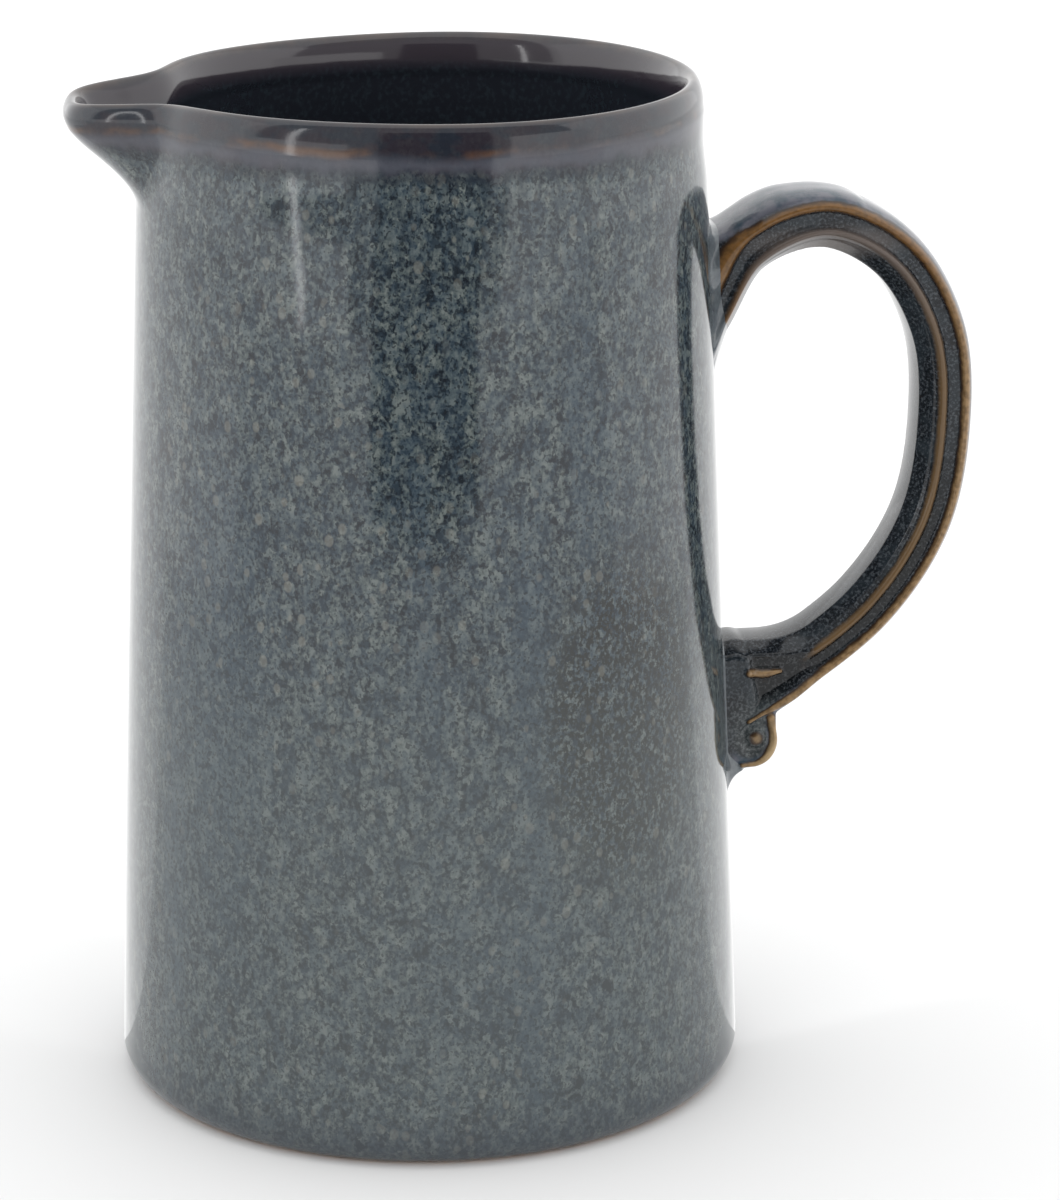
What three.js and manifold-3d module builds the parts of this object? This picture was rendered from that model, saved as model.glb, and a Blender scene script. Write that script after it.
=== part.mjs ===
// A stoneware serving pitcher: a tapered round body with a pulled spout, and a reeded loop handle
// that ends in a small scroll. The handle is luted to the wall with two beds of clay slip.
// Millimetres, +Z up. The origin is on the body's axis at the resting face. The handle points to +X
// and the spout to -X, and the two halves mirror each other in the XZ plane.
import * as THREE from "three";
import { mergeVertices } from "three/addons/utils/BufferGeometryUtils.js";
import Module from "manifold-3d";

const wasm = await Module();
wasm.setup();

// Body
const HEIGHT = 190; // resting face to brim
const BASE_RADIUS = 59.3; // the tapered wall's outer radius, carried down to the resting face
const BRIM_RADIUS = 51.45; // the same wall's outer radius, carried up to the brim
const WALL = 4.8;
const FLOOR = 7;
const BASE_ROUND = 5; // outer corner between wall and underside
const FLOOR_ROUND = 10; // inner corner between wall and floor
const LIP = { outer: [1.9, 2.4], inner: [2.9, 7] }; // half width and height of the lip's two roundings
const WAIST = { depth: 0.45, z: 180, halfHeight: 6 }; // the wall draws in a little just below the lip
const AROUND = 80; // columns of facets around the body

// Spout
const SPOUT_REACH = 13.8; // how far the lip is pulled out at the tip
const SPOUT_START = 167.5; // height where the wall starts to flare
const SPOUT_FULL = 188; // height where the flare is complete
const SPOUT_HALF_ANGLE = { low: 11, high: 15.4 }; // degrees either side, where it starts and at the brim
const SPOUT_ROUNDNESS = 3.6; // higher is squarer at the tip
const SPOUT_DROOP = 2.2; // the tip hangs this much below the brim
const DROOP_HALF_ANGLE = 19; // degrees either side over which the brim sinks to the tip
const SQUEEZE = { depth: 2.9, at: 72, halfAngle: 32, start: 150 }; // the pull narrows the rim beside it
const CROWDING = 0.6; // draws the columns of facets together at the spout

// Handle
const HANDLE_CENTRE_LINE = [
  [51.8, 144.2],
  [59.8, 157.2],
  [74.3, 161.9],
  [88.2, 155],
  [96.8, 140.3],
  [98.4, 121.5],
  [95, 102.6],
  [84.3, 86.1],
  [66.4, 72.5],
  [57, 66.5],
]; // distance from the axis and height
const HANDLE_STEPS = 44;
const STRAP_WIDTH = { low: 0.94, high: 1.1, from: 95, to: 160 }; // it widens towards its upper end
const STRAP = {
  outerFace: [
    [3.6, -4.95],
    [6, -4.5],
    [7.2, -4],
  ], // from the crown to the first bead: half width and depth
  half: 5.5, // depth of the inner face
  innerHalf: 4.4, // half width of the inner face
  innerEdge: 4.9, // depth at which the chamfer leaves the inner face
  beads: [
    { depth: -3.1, half: 7.5, radius: 1 },
    { depth: 1.4, half: 7.2, radius: 0.95 },
  ], // the two ridges along each flank, counted inwards from the centre line
  grooveHalf: 7.1, // half width at the bottom of the groove between them
  chamferTop: 2.9, // depth at which the chamfer starts
};

// The upper root's top face, from the wall out to the strap's crown
const ROOT = {
  top: [
    [50, 160.5],
    [54.5, 161],
    [58, 162.4],
    [61.3, 164.2],
    [65.7, 165.9],
    [70, 166.6],
  ],
  bottom: [
    [68, 158],
    [58, 152],
  ],
  halfWidth: 8.6,
};

// Scroll and pad at the handle's lower end
const PAD = { top: 81.2, bottom: 56.4, face: 59.4, halfWidth: 8.7 };
const SCROLL = { x: 61.7, z: 62.4, radius: 4.3 };
const NOTCH = { x: 66.3, z: 67.4 }; // where the strap's underside meets the scroll
const EDGE_ROUND = 0.7;

// Slip beds
const GAP = 0.3; // clearance at each side of a bed
const BED = 1; // thickness of a bed
const UPPER_BED = { z: 151.8, halfHeight: 13.2, halfWidth: 9.8 };
const LOWER_BED = { z: 69, halfHeight: 14.2, halfWidth: 10 };

const FINISH = {
  glaze: { color: 0x56646b, roughness: 0.2, metalness: 0 },
  handleGlaze: { color: 0x3f4c54, roughness: 0.2, metalness: 0 },
  slip: { color: 0x5d6770, roughness: 0.25, metalness: 0 },
};

const radians = THREE.MathUtils.degToRad;
const smooth = (low, high, value) => THREE.MathUtils.smoothstep(value, low, high);
const wallRadius = (z) => THREE.MathUtils.lerp(BASE_RADIUS, BRIM_RADIUS, z / HEIGHT);

// ---- Solids ----

function solid(geometry) {
  const bare = geometry.clone();
  bare.deleteAttribute("normal");
  bare.deleteAttribute("uv");
  const merged = mergeVertices(bare, 1e-3);
  const mesh = new wasm.Mesh({
    numProp: 3,
    vertProperties: merged.attributes.position.array,
    triVerts: new Uint32Array(merged.index.array),
  });
  return new wasm.Manifold(mesh);
}

function geometryOf(manifold) {
  const { vertProperties, triVerts } = manifold.getMesh();
  const geometry = new THREE.BufferGeometry();
  geometry.setAttribute("position", new THREE.BufferAttribute(vertProperties, 3));
  geometry.setIndex(new THREE.BufferAttribute(triVerts, 1));
  geometry.computeVertexNormals();
  return geometry;
}

function arc(x, z, radius, from, to, steps) {
  return Array.from({ length: steps + 1 }, (_, i) => {
    const angle = radians(THREE.MathUtils.lerp(from, to, i / steps));
    return new THREE.Vector2(x + radius * Math.cos(angle), z + radius * Math.sin(angle));
  });
}

// A lathe about +Z whose columns crowd together at the spout, so that every piece that follows the
// wall has its facets in the same planes.
function turned(profile) {
  const geometry = new THREE.LatheGeometry(profile, AROUND).rotateX(Math.PI / 2);
  const position = geometry.attributes.position;
  for (let i = 0; i < position.count; i += 1) {
    const even = Math.atan2(position.getY(i), position.getX(i));
    const radius = Math.hypot(position.getX(i), position.getY(i));
    const azimuth = even + CROWDING * Math.sin(even);
    position.setX(i, radius * Math.cos(azimuth));
    position.setY(i, radius * Math.sin(azimuth));
  }
  return geometry;
}

// ---- Body ----

// How much of the pull is felt at an azimuth (radians from the spout) and a height.
function spoutPull(fromSpout, z) {
  const rise = smooth(SPOUT_START, SPOUT_FULL, z);
  const halfAngle = THREE.MathUtils.lerp(SPOUT_HALF_ANGLE.low, SPOUT_HALF_ANGLE.high, rise);
  return rise * Math.exp(-((Math.abs(fromSpout) / radians(halfAngle)) ** SPOUT_ROUNDNESS));
}

// How far the wall is drawn in beside the spout at an azimuth (radians from the spout) and a height.
function rimSqueeze(fromSpout, z) {
  const offset = (Math.abs(fromSpout) - radians(SQUEEZE.at)) / radians(SQUEEZE.halfAngle);
  return SQUEEZE.depth * Math.exp(-(offset ** 2)) * smooth(SQUEEZE.start, HEIGHT, z);
}

// How far the brim sinks at an azimuth (radians from the spout) and a height.
function spoutDroop(fromSpout, z) {
  const share = Math.exp(-((fromSpout / radians(DROOP_HALF_ANGLE)) ** 2));
  return SPOUT_DROOP * share * smooth(SPOUT_START, HEIGHT, z);
}

// The outer face at an azimuth and a height, with its level normal.
function outerFace(azimuth, z) {
  const fromSpout = Math.PI - Math.abs(azimuth);
  const side = azimuth < 0 ? -1 : 1;
  const radiusAt = (angle) => wallRadius(z) + SPOUT_REACH * spoutPull(angle, z) - rimSqueeze(angle, z);
  const step = 1e-3;
  const radius = radiusAt(fromSpout);
  const slope = (-side * (radiusAt(fromSpout + step) - radiusAt(fromSpout - step))) / (2 * step);
  const [c, s] = [Math.cos(azimuth), Math.sin(azimuth)];
  const normal = new THREE.Vector2(radius * c + slope * s, radius * s - slope * c).normalize();
  return { point: new THREE.Vector2(radius * c, radius * s), normal };
}

function bodyProfile() {
  const wallHeights = [60, 115, 150, 159, SPOUT_START, 169.5, 172.5, 175.5, 178.5, 181.5];
  const waist = (z) => WAIST.depth * Math.exp(-(((z - WAIST.z) / WAIST.halfHeight) ** 2));
  const crest = BRIM_RADIUS - LIP.outer[0];
  const lip = ([width, height], from, to, steps) =>
    arc(0, 0, 1, from, to, steps).map(
      ({ x, y }) => new THREE.Vector2(crest + x * width, HEIGHT - height + y * height),
    );
  const floorCorner = FLOOR + FLOOR_ROUND;
  return [
    new THREE.Vector2(0, 0),
    ...arc(wallRadius(BASE_ROUND) - BASE_ROUND, BASE_ROUND, BASE_ROUND, -90, 0, 5),
    ...[...wallHeights, 184.5].map((z) => new THREE.Vector2(wallRadius(z) - waist(z), z)),
    ...lip(LIP.outer, 0, 90, 4),
    ...lip(LIP.inner, 90, 180, 5).slice(1),
    ...wallHeights.toReversed().map((z) => new THREE.Vector2(wallRadius(z) - WALL, z)),
    ...arc(wallRadius(floorCorner) - WALL - FLOOR_ROUND, floorCorner, FLOOR_ROUND, 0, -90, 5),
    new THREE.Vector2(0, FLOOR),
  ];
}

function bodyGeometry() {
  const geometry = turned(bodyProfile());
  const position = geometry.attributes.position;
  for (let i = 0; i < position.count; i += 1) {
    const z = position.getZ(i);
    if (z <= SQUEEZE.start) continue;
    const radius = Math.hypot(position.getX(i), position.getY(i));
    const azimuth = Math.atan2(position.getY(i), position.getX(i));
    const { point, normal } = outerFace(azimuth, z);
    point.addScaledVector(normal, radius - wallRadius(z));
    position.setXYZ(i, point.x, point.y, z - spoutDroop(Math.PI - Math.abs(azimuth), z));
  }
  return geometry;
}

// ---- Handle ----

// The strap's section: x across the handle, y inwards from its centre line.
function strapSection() {
  const right = [...STRAP.outerFace];
  const [outerBead, innerBead] = STRAP.beads;
  const bead = ({ depth, half, radius }) =>
    arc(half, depth, radius, -80, 80, 4).map(({ x, y }) => [x, y]);
  right.push(...bead(outerBead));
  right.push([STRAP.grooveHalf, (outerBead.depth + innerBead.depth) / 2]);
  right.push(...bead(innerBead));
  right.push([STRAP.grooveHalf, STRAP.chamferTop]);
  right.push([STRAP.innerHalf, STRAP.innerEdge]);
  right.push([STRAP.innerHalf * 0.5, STRAP.half]);
  const left = right.toReversed().map(([x, y]) => [-x, y]);
  return new THREE.Shape([...right, ...left].map(([x, y]) => new THREE.Vector2(x, y)));
}

function strap() {
  const points = HANDLE_CENTRE_LINE.map(([x, z]) => new THREE.Vector3(x, 0, z));
  const extrudePath = new THREE.CatmullRomCurve3(points);
  const steps = HANDLE_STEPS;
  const geometry = new THREE.ExtrudeGeometry(strapSection(), { steps, extrudePath });
  const position = geometry.attributes.position;
  const { low, high, from, to } = STRAP_WIDTH;
  for (let i = 0; i < position.count; i += 1) {
    const widening = THREE.MathUtils.lerp(low, high, smooth(from, to, position.getZ(i)));
    position.setY(i, position.getY(i) * widening);
  }
  return solid(geometry);
}

// A shape drawn in the XZ plane, given a width across the handle and rounded edges.
function slab(shape, halfWidth) {
  const geometry = new THREE.ExtrudeGeometry(shape, {
    depth: 2 * (halfWidth - EDGE_ROUND),
    bevelSize: EDGE_ROUND,
    bevelThickness: EDGE_ROUND,
    bevelOffset: -EDGE_ROUND,
    bevelSegments: 2,
    curveSegments: 10,
  });
  return solid(geometry.translate(0, 0, EDGE_ROUND - halfWidth).rotateX(Math.PI / 2));
}

// The wedge that carries the strap's top face up to the wall.
function root() {
  const outline = [...ROOT.top, ...ROOT.bottom].map(([x, z]) => new THREE.Vector2(x, z));
  return slab(new THREE.Shape(outline), ROOT.halfWidth);
}

// The pad against the wall, the web under the strap and the scroll, as one moulded end.
function terminal() {
  const buried = BRIM_RADIUS;
  const shape = new THREE.Shape();
  shape.moveTo(buried, PAD.top);
  shape.lineTo(PAD.face - 1, PAD.top);
  shape.quadraticCurveTo(PAD.face + 1, PAD.top - 1.2, NOTCH.x, PAD.top - 1.4);
  shape.lineTo(NOTCH.x, NOTCH.z);
  shape.absarc(SCROLL.x, SCROLL.z, SCROLL.radius, 0.5, -Math.PI / 2, true);
  shape.quadraticCurveTo(PAD.face, SCROLL.z - SCROLL.radius, PAD.face - 1, PAD.bottom);
  shape.lineTo(buried, PAD.bottom);
  return slab(shape, PAD.halfWidth);
}

// ---- Slip beds ----

// Everything within a distance outside the wall, up to well above the handle.
const withinWall = (distance) =>
  solid(
    turned([
      new THREE.Vector2(0, 0),
      new THREE.Vector2(wallRadius(0) + distance, 0),
      new THREE.Vector2(wallRadius(HEIGHT) + distance, HEIGHT),
      new THREE.Vector2(0, HEIGHT),
    ]),
  );

// An upright oval patch of the layer between two distances from the wall.
function slipBed({ z, halfHeight, halfWidth }) {
  const oval = new THREE.Shape();
  oval.absellipse(0, 0, halfWidth, halfHeight, 0, 2 * Math.PI);
  const reach = 2 * BASE_RADIUS;
  const patch = new THREE.ExtrudeGeometry(oval, {
    depth: reach,
    bevelEnabled: false,
    curveSegments: 20,
  });
  patch.rotateX(Math.PI / 2).rotateZ(Math.PI / 2).translate(0, 0, z);
  const layer = withinWall(GAP + BED).subtract(withinWall(GAP));
  return layer.intersect(solid(patch));
}

// ---- Assembly ----

function piece(name, geometry, finish) {
  const mesh = new THREE.Mesh(geometry, new THREE.MeshStandardMaterial(finish));
  mesh.name = name;
  return mesh;
}

const handle = strap().add(root()).add(terminal()).subtract(withinWall(2 * GAP + BED));

const pitcher = new THREE.Group();
pitcher.add(
  piece("body", bodyGeometry(), FINISH.glaze),
  piece("handle", geometryOf(handle), FINISH.handleGlaze),
  piece("upper_slip_joint", geometryOf(slipBed(UPPER_BED)), FINISH.slip),
  piece("lower_slip_joint", geometryOf(slipBed(LOWER_BED)), FINISH.slip),
);

export default pitcher;
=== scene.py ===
"""The looks of the stoneware pitcher: fine meshes of the body, the handle and the slip fillets at the
handle's two roots, with a reactive glaze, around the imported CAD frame."""

import math

import bpy
import numpy as np
from mathutils import Matrix, Vector


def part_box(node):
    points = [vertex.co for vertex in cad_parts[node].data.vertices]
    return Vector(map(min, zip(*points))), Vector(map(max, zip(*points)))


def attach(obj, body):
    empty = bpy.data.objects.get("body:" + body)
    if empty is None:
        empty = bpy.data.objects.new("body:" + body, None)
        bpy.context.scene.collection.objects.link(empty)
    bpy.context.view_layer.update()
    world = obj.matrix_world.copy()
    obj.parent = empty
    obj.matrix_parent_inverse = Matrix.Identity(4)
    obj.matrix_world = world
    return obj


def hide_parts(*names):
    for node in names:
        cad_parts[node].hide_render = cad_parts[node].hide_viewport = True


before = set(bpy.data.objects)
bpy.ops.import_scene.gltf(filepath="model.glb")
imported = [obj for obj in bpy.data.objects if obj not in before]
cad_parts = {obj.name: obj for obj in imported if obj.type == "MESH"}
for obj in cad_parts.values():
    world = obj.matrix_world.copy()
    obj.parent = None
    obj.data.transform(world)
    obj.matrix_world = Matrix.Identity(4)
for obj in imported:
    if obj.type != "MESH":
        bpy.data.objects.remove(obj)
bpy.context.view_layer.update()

# ---- Driving dimensions, in millimetres, as in the CAD model unless a comment says otherwise ----

MM = 0.001
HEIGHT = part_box("body")[1].z / MM
BASE_RADIUS = 59.3
BRIM_RADIUS = 51.45
WALL = 4.8
FLOOR = 7.0
BASE_ROUND = 5.0
FLOOR_ROUND = 10.0
LIP_OUTER = (1.9, 4.6)  # half width and height of the lip's roll to the outside, longer than in CAD
LIP_INNER = (2.9, 7.0)  # and towards the inside
WAIST = 0.45  # how far the wall draws in below the lip's roll, a little lower down than in CAD
WAIST_HEIGHT = 178.5
WAIST_HALF_HEIGHT = 5.0  # and over less height

SPOUT_REACH = 13.8  # how far the lip is pulled out at the tip
SPOUT_START = 167.5  # height where the wall starts to flare
SPOUT_FULL = 188.0  # height where the flare is complete
SPOUT_HALF_ANGLE = (math.radians(11), math.radians(15.4))  # where it starts and at the brim
SPOUT_ROUNDNESS = 3.6  # higher is squarer at the tip
SPOUT_DROOP = 2.2  # the tip hangs this much below the brim
DROOP_HALF_ANGLE = math.radians(19)
SQUEEZE = 2.9  # how far pulling the spout has drawn the rim in on either side of it
SQUEEZE_AT = math.radians(72)
SQUEEZE_HALF_ANGLE = math.radians(32)
SQUEEZE_START = 150.0
CROWDING = 0.6  # draws the mesh's columns together at the spout

HANDLE_CENTRE_LINE = [
    (51.8, 144.2),
    (59.8, 157.2),
    (74.3, 161.9),
    (88.2, 155.0),
    (96.8, 140.3),
    (98.4, 121.5),
    (95.0, 102.6),
    (84.3, 86.1),
    (66.4, 72.5),
    (57.0, 66.5),
]
OUTER_DEPTH = 5.1  # centre line to the middle of the strap's domed crown, which is flat at 4.95 in CAD
INNER_DEPTH = 5.5  # centre line to the strap's inner face


def smoothstep(low, high, value):
    """A smooth rise from 0 at low to 1 at high."""
    t = np.clip((value - low) / (high - low), 0, 1)
    return t * t * (3 - 2 * t)


def mix(a, b, t):
    """From a at t = 0 to b at t = 1."""
    return a + (b - a) * t


def smooth_max(a, b, k):
    """The larger of two fields, rounded where they meet."""
    h = np.clip(0.5 + 0.5 * (a - b) / k, 0, 1)
    return mix(b, a, h) + k * h * (1 - h)


def wall_radius(z):
    return mix(BASE_RADIUS, BRIM_RADIUS, z / HEIGHT)


# ---- Meshes ----

def make_object(name, vertices_mm, faces, node):
    """A smooth-shaded piece from vertices in millimetres, standing for a CAD node."""
    mesh = bpy.data.meshes.new(name)
    mesh.from_pydata((np.asarray(vertices_mm) * MM).tolist(), [], faces)
    mesh.update()
    mesh.polygons.foreach_set("use_smooth", np.ones(len(mesh.polygons), bool))
    piece = bpy.data.objects.new(name, mesh)
    bpy.context.scene.collection.objects.link(piece)
    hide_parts(node)
    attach(piece, "root")
    return piece


def add_attribute(piece, name, values):
    layer = piece.data.attributes.new(name, "FLOAT", "POINT")
    layer.data.foreach_set("value", np.asarray(values, np.float32))


# ---- Body ----

BODY_COLUMNS = 400


def spout_pull(from_spout, z):
    """The share of the spout's reach at an angle from the spout's middle and a height."""
    rise = smoothstep(SPOUT_START, SPOUT_FULL, z)
    half_angle = mix(*SPOUT_HALF_ANGLE, rise)
    return rise * np.exp(-((np.abs(from_spout) / half_angle) ** SPOUT_ROUNDNESS))


def rim_squeeze(from_spout, z):
    """How far the wall beside the spout is drawn in."""
    beside = np.exp(-(((np.abs(from_spout) - SQUEEZE_AT) / SQUEEZE_HALF_ANGLE) ** 2))
    return SQUEEZE * beside * smoothstep(SQUEEZE_START, HEIGHT, z)


def spout_droop(from_spout, z):
    """How far the brim hangs down towards the spout's tip."""
    share = np.exp(-((from_spout / DROOP_HALF_ANGLE) ** 2))
    return SPOUT_DROOP * share * smoothstep(SPOUT_START, HEIGHT, z)


def outer_face(azimuth, z):
    """The outer face at an azimuth and a height, with its level normal."""
    from_spout = np.pi - np.abs(azimuth)
    side = np.where(azimuth < 0, -1.0, 1.0)

    def radius_at(angle):
        return wall_radius(z) + SPOUT_REACH * spout_pull(angle, z) - rim_squeeze(angle, z)

    step = 1e-3
    radius = radius_at(from_spout)
    slope = -side * (radius_at(from_spout + step) - radius_at(from_spout - step)) / (2 * step)
    c, s = np.cos(azimuth), np.sin(azimuth)
    normal = np.stack([radius * c + slope * s, radius * s - slope * c], -1)
    normal /= np.linalg.norm(normal, axis=-1, keepdims=True)
    return np.stack([radius * c, radius * s], -1), normal


def arc(x, z, rx, rz, start, end, steps):
    """Points of an elliptical arc about (x, z), between two angles in degrees."""
    angles = np.radians(np.linspace(start, end, steps + 1))
    return np.stack([x + rx * np.cos(angles), z + rz * np.sin(angles)], -1)


def body_profile():
    """Radius and height from the middle of the underside, up the wall, over the lip and down inside."""
    foot = wall_radius(BASE_ROUND) - BASE_ROUND
    underside = [(r, 0.0) for r in np.linspace(6, foot, 9)[:-1]]
    corner = arc(foot, BASE_ROUND, BASE_ROUND, BASE_ROUND, -90, 0, 14)
    low_wall = np.arange(BASE_ROUND + 2.5, SPOUT_START - 1, 2.5)
    outer_base, inner_base = HEIGHT - LIP_OUTER[1], HEIGHT - LIP_INNER[1]
    heights = np.concatenate([low_wall, np.linspace(SPOUT_START, outer_base, 26)[:-1]])
    waist = WAIST * np.exp(-(((heights - WAIST_HEIGHT) / WAIST_HALF_HEIGHT) ** 2))
    outside = np.stack([wall_radius(heights) - waist, heights], -1)
    crest = wall_radius(HEIGHT) - LIP_OUTER[0]
    outer_lip = arc(crest, outer_base, *LIP_OUTER, 0, 90, 12)
    inner_lip = arc(crest, inner_base, *LIP_INNER, 90, 180, 18)
    lip = np.concatenate([outer_lip, inner_lip[1:]])
    inner_low = np.arange(FLOOR + FLOOR_ROUND + 4, SPOUT_START - 2, 4.5)
    inner_heights = np.concatenate([inner_low, np.linspace(SPOUT_START, inner_base, 20)[:-1]])[::-1]
    inside = np.stack([wall_radius(inner_heights) - WALL, inner_heights], -1)
    top_of_corner = FLOOR + FLOOR_ROUND
    floor_start = wall_radius(top_of_corner) - WALL - FLOOR_ROUND
    floor_corner = arc(floor_start, top_of_corner, FLOOR_ROUND, FLOOR_ROUND, 0, -90, 12)
    floor = [(r, FLOOR) for r in np.linspace(floor_start, 5, 8)[1:]]
    return np.concatenate([underside, corner, outside, lip, inside, floor_corner, floor])


def hand_wobble(azimuth, z):
    """The slight unevenness of a hand-finished wall, in millimetres."""
    two_lobes = 0.10 * np.sin(2 * azimuth + 0.7 + z / 90)
    three_lobes = 0.06 * np.sin(3 * azimuth - z / 37)
    five_lobes = 0.04 * np.sin(5 * azimuth + z / 23 + 1.9)
    return two_lobes + three_lobes + five_lobes


def build_body():
    columns = BODY_COLUMNS
    profile = body_profile()
    even = np.linspace(-np.pi, np.pi, columns, endpoint=False)
    azimuth = (even + CROWDING * np.sin(even))[None, :]
    radius, z = profile[:, :1], profile[:, 1:]
    point, normal = outer_face(azimuth, z)
    inset = radius - wall_radius(z)
    plain = np.stack([radius * np.cos(azimuth), radius * np.sin(azimuth)], -1)
    shaped = (z > SQUEEZE_START)[..., None]
    level = np.where(shaped, point + normal * inset[..., None], plain)
    away = level / np.linalg.norm(level, axis=-1, keepdims=True)
    settled = smoothstep(0, 20, z) * smoothstep(0, 30, radius)
    level = level + away * (hand_wobble(azimuth, z) * settled)[..., None]
    height = z - spout_droop(np.pi - np.abs(azimuth), z) * np.ones_like(level[..., 0])
    grid = np.concatenate([level, height[..., None]], -1)
    rows = len(profile)
    vertices = grid.reshape(-1, 3).tolist()
    vertices += [[0, 0, 0], [0, 0, FLOOR]]
    bottom_pole, floor_pole = rows * columns, rows * columns + 1
    i, j = np.meshgrid(np.arange(rows - 1), np.arange(columns), indexing="ij")
    k = (j + 1) % columns
    below, above = i * columns, (i + 1) * columns
    faces = np.stack([below + j, below + k, above + k, above + j], -1).reshape(-1, 4).tolist()
    last = (rows - 1) * columns
    for a in range(columns):
        b = (a + 1) % columns
        faces.append([bottom_pole, b, a])
        faces.append([floor_pole, last + a, last + b])
    body = make_object("pitcher_body", vertices, faces, "body")
    steps = np.linalg.norm(np.diff(profile, axis=0), axis=1)
    travelled = np.concatenate([[0], np.cumsum(steps)])
    past_crest = travelled - travelled[np.argmax(profile[:, 1])]
    add_attribute(body, "past_crest", np.append(np.repeat(past_crest, columns), past_crest[[0, -1]]))
    return body


# ---- Handle ----

def curve_points(control, steps):
    """A centripetal Catmull-Rom curve through the control points."""
    control = np.asarray(control, float)
    before = 2 * control[0] - control[1]
    after = 2 * control[-1] - control[-2]
    knots = np.vstack([before, control, after])
    pieces = []
    t = (np.arange(steps) / steps)[:, None]
    for p0, p1, p2, p3 in zip(knots, knots[1:], knots[2:], knots[3:]):
        gap0, gap1, gap2 = (math.sqrt(math.dist(a, b)) for a, b in ((p0, p1), (p1, p2), (p2, p3)))
        m1 = ((p1 - p0) / gap0 - (p2 - p0) / (gap0 + gap1) + (p2 - p1) / gap1) * gap1
        m2 = ((p2 - p1) / gap1 - (p3 - p1) / (gap1 + gap2) + (p3 - p2) / gap2) * gap1
        pieces.append(
            p1 + t * m1 + t**2 * (-3 * p1 + 3 * p2 - 2 * m1 - m2) + t**3 * (2 * p1 - 2 * p2 + m1 + m2)
        )
    return np.vstack([*pieces, control[-1:]])


class Track:
    """A polyline in the XZ plane: how far along it and how far to its left any point lies."""

    BATCH = 20000  # points measured at a time, to keep the arrays small

    def __init__(self, points, extend=0.0):
        points = np.asarray(points, float)
        if extend:
            first, last = points[0] - points[1], points[-1] - points[-2]
            start = points[0] + first / np.linalg.norm(first) * extend
            end = points[-1] + last / np.linalg.norm(last) * extend
            points = np.vstack([start, points, end])
        self.a, self.b = points[:-1], points[1:]
        self.span = self.b - self.a
        self.length = np.linalg.norm(self.span, axis=1)
        self.start = np.concatenate([[0], np.cumsum(self.length)[:-1]]) - extend

    def locate(self, x, z):
        shape = np.shape(x)
        points = np.stack([np.ravel(x), np.ravel(z)], -1)
        along = np.empty(len(points))
        left = np.empty(len(points))
        for first in range(0, len(points), self.BATCH):
            batch = slice(first, first + self.BATCH)
            p = points[batch, None, :] - self.a[None]
            t = np.clip((p * self.span).sum(-1) / self.length**2, 0, 1)
            away = p - t[..., None] * self.span
            squared = (away**2).sum(-1)
            nearest = squared.argmin(1)
            rows = np.arange(len(nearest))
            t, away = t[rows, nearest], away[rows, nearest]
            span = self.span[nearest]
            side = np.sign(span[:, 0] * away[:, 1] - span[:, 1] * away[:, 0])
            along[batch] = self.start[nearest] + t * self.length[nearest]
            left[batch] = np.where(side == 0, 1, side) * np.sqrt(squared[rows, nearest])
        return along.reshape(shape), left.reshape(shape)


centre_line = Track(curve_points(HANDLE_CENTRE_LINE, 14), extend=14)

WALL_SLANT = math.cos(math.atan((BASE_RADIUS - BRIM_RADIUS) / HEIGHT))
HANDLE_CELL = 0.36  # size of the handle's mesh cells
FILLET_CELL = 0.34
HANDLE_SUNK = 0.5  # how deep the handle's mesh reaches into the wall
FILLET_SUNK = 0.8  # how deep a fillet reaches into the wall and the handle

GROOVE_HALF = 7.0  # half width at the bottom of the groove between the strap's two beads
BEAD_HEIGHT = {"outer": 1.45, "inner": 1.15}
BEAD_RADIUS = {"outer": 1.35, "inner": 1.25}
# The pad is within 0.3 mm of the CAD one. The scroll is 1 mm larger in radius than in CAD.
PAD = {"top": 80.9, "bottom": 56.2, "face": 59.2}
SCROLL = {"x": 61.0, "z": 61.6, "radius": 5.3}
WEB_EDGE = 66.0  # where the scroll's outer edge joins the lower arm
FLANK = 8.2  # half width of the pad and the scroll
PANEL = 7.0  # half width at the bottom of the sunk panel between the beads

# The top outline of the upper root, from inside the wall to inside the strap.
ROOT_TOP = [(48, 160), (55, 161.1), (58, 162.8), (61.3, 164.9), (65.7, 166.7), (70, 167.3), (75, 167.3),
            (80, 166.2), (84, 163.6), (88, 159)]
SHORT_RIDGE = [(60.7, 75.4), (63.4, 74.9), (66.8, 75.3)]
LOBE_BEAD = [(65.0, 66.2), (65.6, 62.0), (64.7, 59.0), (62.5, 57.3), (59.4, 56.9)]
EYE = (62.1, 62.3)
UPPER_BORDER = [(74.0, 80.7), (66.0, 79.3), (61.2, 79.4), (60.0, 78.2), (59.8, 75.5), (61.2, 70.0)]
LOWER_BORDER = [(76.0, 75.0), (69.2, 70.4), (65.6, 68.3), (63.2, 67.1), (60.6, 65.6)]

root_top = Track(curve_points(ROOT_TOP, 8))
short_ridge = Track(curve_points(SHORT_RIDGE, 8))
lobe_bead = Track(curve_points(LOBE_BEAD, 8))
upper_border = Track(curve_points(UPPER_BORDER, 8))
lower_border = Track(curve_points(LOWER_BORDER, 8))


def strap_widening(z):
    """The strap is wider towards its upper end."""
    return mix(0.94, 1.1, smoothstep(95, 160, z))


def bump(distance, radius):
    """A rounded ridge, 1 at its crest and 0 from its radius outwards."""
    t = np.clip(1 - (distance / radius) ** 2, 0, 1)
    return t**1.5


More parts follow.
